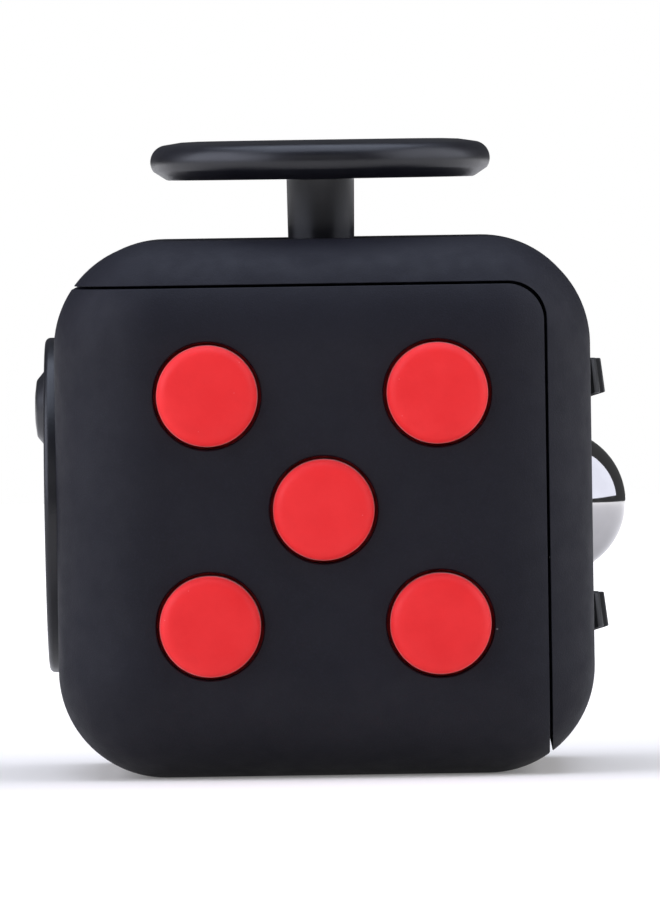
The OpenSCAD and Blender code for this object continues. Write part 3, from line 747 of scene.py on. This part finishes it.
class Look:
    """A procedural material: a Principled shader with helpers for the nodes that feed it."""

    def __init__(self, name):
        self.material = bpy.data.materials.new(name)
        self.material.use_nodes = True
        self.tree = self.material.node_tree
        self.tree.nodes.clear()
        self.output = self.tree.nodes.new("ShaderNodeOutputMaterial")
        self.shader = self.tree.nodes.new("ShaderNodeBsdfPrincipled")
        self.link(self.shader.outputs[0], self.output.inputs["Surface"])
        self.place = self.tree.nodes.new("ShaderNodeTexCoord").outputs["Object"]

    def link(self, source, target):
        self.tree.links.new(source, target)

    def set(self, **values):
        for name, value in values.items():
            self.shader.inputs[name.replace("_", " ")].default_value = value
        return self

    def stretched(self, scale):
        node = self.tree.nodes.new("ShaderNodeMapping")
        node.inputs["Scale"].default_value = scale
        self.link(self.place, node.inputs["Vector"])
        return node.outputs[0]

    def noise(self, scale, detail=3.0, rough=0.55, source=None):
        node = self.tree.nodes.new("ShaderNodeTexNoise")
        node.inputs["Scale"].default_value = scale
        node.inputs["Detail"].default_value = detail
        node.inputs["Roughness"].default_value = rough
        self.link(source or self.place, node.inputs["Vector"])
        return node.outputs[0]

    def cells(self, scale, source=None):
        node = self.tree.nodes.new("ShaderNodeTexVoronoi")
        node.inputs["Scale"].default_value = scale
        self.link(source or self.place, node.inputs["Vector"])
        return node.outputs["Distance"]

    def remap(self, source, low, high, to_low=0.0, to_high=1.0):
        node = self.tree.nodes.new("ShaderNodeMapRange")
        for name, value in (("From Min", low), ("From Max", high), ("To Min", to_low), ("To Max", to_high)):
            node.inputs[name].default_value = value
        self.link(source, node.inputs["Value"])
        return node.outputs[0]

    def maths(self, operation, first, second):
        node = self.tree.nodes.new("ShaderNodeMath")
        node.operation = operation
        for value, socket in ((first, node.inputs[0]), (second, node.inputs[1])):
            if isinstance(value, (int, float)):
                socket.default_value = value
            else:
                self.link(value, socket)
        return node.outputs[0]

    def mix(self, share, first, second):
        """A colour between first and second, by share."""
        node = self.tree.nodes.new("ShaderNodeMix")
        node.data_type = "RGBA"
        self.link(share, node.inputs["Factor"])
        for value, socket in ((first, node.inputs[6]), (second, node.inputs[7])):
            if isinstance(value, tuple):
                socket.default_value = (*value, 1.0)
            else:
                self.link(value, socket)
        return node.outputs[2]

    def bump(self, height, strength, distance, below=None):
        node = self.tree.nodes.new("ShaderNodeBump")
        node.inputs["Strength"].default_value = strength
        node.inputs["Distance"].default_value = distance
        self.link(height, node.inputs["Height"])
        if below is not None:
            self.link(below, node.inputs["Normal"])
        return node.outputs[0]

    def feed(self, **sources):
        for name, source in sources.items():
            self.link(source, self.shader.inputs[name.replace("_", " ")])
        return self


def soft_touch(name, colour, light_colour):
    """Matt black soft-touch plastic: a fine grain, faint mottling and a few specks of dust."""
    look = Look(name)
    look.set(IOR=1.45, Specular_IOR_Level=0.28)
    mottle = look.noise(160, 4)
    base = look.mix(look.remap(mottle, 0.35, 0.65), colour, light_colour)
    grain = look.noise(9000, 2)
    base = look.mix(look.remap(grain, 0.5, 0.75, 0.0, 0.6), base, tuple(c * 2.2 for c in colour))
    specks = look.remap(look.cells(330), 0.022, 0.014)
    threads = look.remap(look.cells(120, look.stretched((1.0, 1.0, 3.2))), 0.011, 0.006)
    dust = look.maths("MAXIMUM", specks, threads)
    base = look.mix(look.maths("MULTIPLY", dust, 0.7), base, (0.45, 0.45, 0.46))
    rough = look.remap(look.noise(700, 3), 0.3, 0.7, 0.54, 0.66)
    normal = look.bump(grain, 0.5, 0.00003)
    normal = look.bump(look.noise(60, 2), 0.08, 0.0003, normal)
    look.feed(Base_Color=base, Roughness=rough, Normal=normal)
    return look.material


def moulded_black(name, colour, rough_low, rough_high, specular=0.5):
    """Satin black moulded plastic with faint flow marks and handling scuffs."""
    look = Look(name)
    look.set(IOR=1.47, Specular_IOR_Level=specular)
    flow = look.noise(120, 3, source=look.stretched((1.0, 1.0, 2.5)))
    base = look.mix(look.remap(flow, 0.35, 0.7), colour, tuple(c * 1.5 + 0.002 for c in colour))
    scuff = look.noise(900, 5, 0.7, look.stretched((1.0, 3.0, 6.0)))
    base = look.mix(look.remap(scuff, 0.66, 0.8, 0.0, 0.25), base, (0.12, 0.12, 0.13))
    rough = look.remap(look.noise(400, 4), 0.3, 0.7, rough_low, rough_high)
    normal = look.bump(look.noise(7000, 2), 0.3, 0.00002)
    normal = look.bump(scuff, 0.06, 0.00005, normal)
    look.feed(Base_Color=base, Roughness=rough, Normal=normal)
    return look.material


def silicone_red(name):
    """Red silicone: a soft surface that scatters light and shows a paler rim."""
    look = Look(name)
    look.set(IOR=1.41, Specular_IOR_Level=0.3, Subsurface_Weight=0.12, Subsurface_Scale=0.0006)
    look.set(Subsurface_Radius=(1.0, 0.25, 0.2), Sheen_Weight=0.6, Sheen_Roughness=0.3)
    look.set(Sheen_Tint=(1.0, 0.75, 0.75, 1.0))
    mottle = look.noise(350, 4)
    base = look.mix(look.remap(mottle, 0.35, 0.65), (0.80, 0.020, 0.022), (0.86, 0.027, 0.029))
    dust = look.remap(look.cells(900), 0.035, 0.02)
    base = look.mix(look.maths("MULTIPLY", dust, 0.35), base, (0.9, 0.45, 0.45))
    rough = look.remap(look.noise(1500, 3), 0.3, 0.7, 0.42, 0.58)
    normal = look.bump(look.noise(6000, 3), 0.2, 0.00003)
    look.feed(Base_Color=base, Roughness=rough, Normal=normal)
    return look.material


def metal(name, colour, rough_low, rough_high, stretch, scratch=0.1):
    """Bare metal with fine drawn or rubbed lines along one direction."""
    look = Look(name)
    look.set(Metallic=1.0)
    lines = look.noise(2500, 4, 0.6, look.stretched(stretch))
    tint = look.noise(300, 3)
    base = look.mix(look.remap(tint, 0.3, 0.7), tuple(c * 0.86 for c in colour), colour)
    rough = look.remap(lines, 0.3, 0.7, rough_low, rough_high)
    look.feed(Base_Color=base, Roughness=rough, Normal=look.bump(lines, scratch, 0.00002))
    return look.material


def clear_silicone(name):
    """Milky silicone that lets a little light in."""
    look = Look(name)
    look.set(IOR=1.41, Subsurface_Weight=0.4, Subsurface_Scale=0.001)
    base = look.mix(look.remap(look.noise(300, 3), 0.35, 0.65), (0.56, 0.56, 0.53), (0.66, 0.66, 0.63))
    rough = look.remap(look.noise(1200, 3), 0.3, 0.7, 0.45, 0.6)
    look.feed(Base_Color=base, Roughness=rough, Normal=look.bump(look.noise(5000, 2), 0.15, 0.00002))
    return look.material


def paper_white(name):
    """Matt white paper."""
    look = Look(name)
    look.set(Specular_IOR_Level=0.1)
    base = look.mix(look.remap(look.noise(3, 3), 0.3, 0.7), (0.86, 0.81, 0.74), (0.88, 0.83, 0.76))
    rough = look.remap(look.noise(40, 3), 0.3, 0.7, 0.75, 0.85)
    return look.feed(Base_Color=base, Roughness=rough)


LOOKS = {
    "shell": soft_touch("soft_touch_black", (0.0044, 0.0043, 0.0084), (0.0064, 0.0062, 0.0108)),
    "button_red": silicone_red("red_silicone"),
    "control_black": moulded_black("satin_black", (0.0045, 0.0045, 0.007), 0.3, 0.42),
    "gear_black": moulded_black("gear_black", (0.009, 0.009, 0.010), 0.38, 0.5, 0.4),
    "ball_steel": metal("polished_steel", (0.47, 0.46, 0.465), 0.03, 0.09, (1.0, 1.0, 0.3), 0.03),
    "inner_plastic": moulded_black("inner_grey", (0.08, 0.08, 0.085), 0.4, 0.55),
    "spring_steel": metal("spring_steel", (0.62, 0.61, 0.60), 0.18, 0.32, (0.2, 1.0, 1.0)),
    "screw_steel": metal("plated_steel", (0.55, 0.55, 0.57), 0.25, 0.4, (1.0, 1.0, 0.4)),
    "silicone": clear_silicone("clear_silicone"),
    "friction_rubber": moulded_black("black_rubber", (0.012, 0.012, 0.012), 0.6, 0.75, 0.3),
}
SLOT_OF = {part["node"]: part["material_slot"] for part in frame["record"]["subparts"]}
BODY_OF = {node: body for body, nodes in frame["record"]["behaviour"]["bodies"].items() for node in nodes}


def wear(obj, slot):
    obj.data.materials.clear()
    obj.data.materials.append(LOOKS[slot])


def stands_for(obj, node):
    """Finishes a piece: into the frame's metres, onto its node's body, in its node's slot and look."""
    placed(obj, STAND)
    wear(obj, SLOT_OF[node])
    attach(obj, BODY_OF[node])
    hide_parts(node)


# ---- The pieces ----

stands_for(front_shell(), "front_shell")
stands_for(rear_shell(), "rear_shell")
for place, (x, y) in BUTTONS.items():
    cap = push_button("red_button_" + place)
    stands_for(placed(cap, FRONT @ at(x * BUTTON_PITCH, y * BUTTON_PITCH)), "button_" + place)
stands_for(spin_dial(), "spin_dial")
stands_for(joystick_cap(), "joystick_cap")
stands_for(joystick_shaft(), "joystick_shaft")
stands_for(joystick_spring(), "joystick_spring")
for place, height in GEARS.items():
    stands_for(gear("thumb_gear_" + place, height), "gear_" + place)
stands_for(steel_ball(), "steel_ball")
stands_for(rocker_switch(), "rocker_switch")

for node, obj in frame["nodes"].items():
    wear(obj, SLOT_OF[node])

# ---- Stage, light and camera ----

FLOOR_R = 0.7
ROOM_LIGHT = 0.08
CAMERA_AWAY = 1.0
CAMERA_AZIMUTH = math.radians(0.31)
CAMERA_ELEVATION = math.radians(1.19)
CAMERA_ROLL = math.radians(0.88)
FRAME_HEIGHT_MM = 55.94  # what the picture's height takes in, at the cube
AIM_RIGHT, AIM_UP = 0.295, 3.31  # the picture's middle, in millimetres from the cube's middle


def floor():
    """A round pale sheet under the cube, with a painted glow: it emits light, faint near the cube and
    stronger towards its edge as it runs out of the softboxes' reach.
    """
    rim = [(x * FLOOR_R, y * FLOOR_R, 0) for x, y in circle(1.0, 128)]
    sheet = new_object("floor", rim, [tuple(range(len(rim)))])
    look = paper_white("floor_paper_painted_glow")
    away = look.tree.nodes.new("ShaderNodeVectorMath")
    away.operation = "LENGTH"
    look.link(look.place, away.inputs[0])
    # painted glow: emission strength rises from 0.14 near the cube to 0.8 towards the sheet's edge
    look.feed(Emission_Strength=look.remap(away.outputs["Value"], 0.03, 0.4, 0.14, 0.8))
    look.set(Emission_Color=(1, 1, 1, 1))
    sheet.data.materials.append(look.material)


def softbox(name, spot, facing, size, radiance, colour=(1, 1, 1)):
    """A softbox that looks along facing, by how bright its front looks."""
    light = bpy.data.lights.new(name, "AREA")
    light.shape = "RECTANGLE"
    light.size, light.size_y = size
    light.energy = radiance * math.pi * size[0] * size[1]
    light.color = colour
    obj = bpy.data.objects.new(name, light)
    bpy.context.scene.collection.objects.link(obj)
    turn = Vector(facing).to_track_quat("-Z", "Y").to_matrix().to_4x4()
    obj.matrix_world = Matrix.Translation(spot) @ turn


def studio():
    """A dim room that looks white behind the cube."""
    world = bpy.data.worlds.new("studio")
    world.use_nodes = True
    tree = world.node_tree
    room = tree.nodes["Background"]
    room.inputs["Color"].default_value = (0.95, 0.97, 1.0, 1)
    room.inputs["Strength"].default_value = ROOM_LIGHT
    paper = tree.nodes.new("ShaderNodeBackground")
    paper.inputs["Color"].default_value = (1, 1, 1, 1)
    seen = tree.nodes.new("ShaderNodeLightPath")
    mix = tree.nodes.new("ShaderNodeMixShader")
    tree.links.new(seen.outputs["Is Camera Ray"], mix.inputs["Fac"])
    tree.links.new(room.outputs[0], mix.inputs[1])
    tree.links.new(paper.outputs[0], mix.inputs[2])
    tree.links.new(mix.outputs[0], tree.nodes["World Output"].inputs["Surface"])
    bpy.context.scene.world = world
    bpy.context.scene.view_settings.view_transform = "Standard"


def camera():
    """A long lens that looks at the front face from a little above and to the right."""
    back = Vector(
        (
            math.sin(CAMERA_AZIMUTH) * math.cos(CAMERA_ELEVATION),
            -math.cos(CAMERA_AZIMUTH) * math.cos(CAMERA_ELEVATION),
            math.sin(CAMERA_ELEVATION),
        )
    )
    level = Vector((0, 0, 1)).cross(back).normalized()
    upright = back.cross(level)
    right = level * math.cos(CAMERA_ROLL) - upright * math.sin(CAMERA_ROLL)
    up = back.cross(right)
    aim = Vector((0, 0, HALF * MM)) + (right * AIM_RIGHT + up * AIM_UP) * MM
    lens = bpy.data.cameras.new("camera")
    lens.sensor_fit = "VERTICAL"
    lens.sensor_height = 36.0
    lens.lens = lens.sensor_height * CAMERA_AWAY / (FRAME_HEIGHT_MM * MM)
    lens.clip_end = 20
    obj = bpy.data.objects.new("camera", lens)
    bpy.context.scene.collection.objects.link(obj)
    turn = Matrix((right, up, back)).transposed().to_4x4()
    obj.matrix_world = Matrix.Translation(aim + back * CAMERA_AWAY) @ turn
    bpy.context.scene.camera = obj


floor()
studio()
softbox("left_box", (-0.6, -0.32, 0.42), (1, 0, 0), (1.0, 0.7), 2.85, (0.91, 0.95, 1.13))
softbox("right_box", (0.6, -0.1, 0.42), (-1, 0, 0), (0.9, 0.72), 1.95, (0.93, 0.96, 1.09))
softbox("top_box", (0.0, 0.05, 0.85), (0, 0, -1), (0.9, 0.9), 2.2, (0.86, 0.95, 1.18))
softbox("front_box", (0.0, -1.3, 0.6), (0, 1.3, -0.58), (1.0, 0.5), 0.6)
camera()
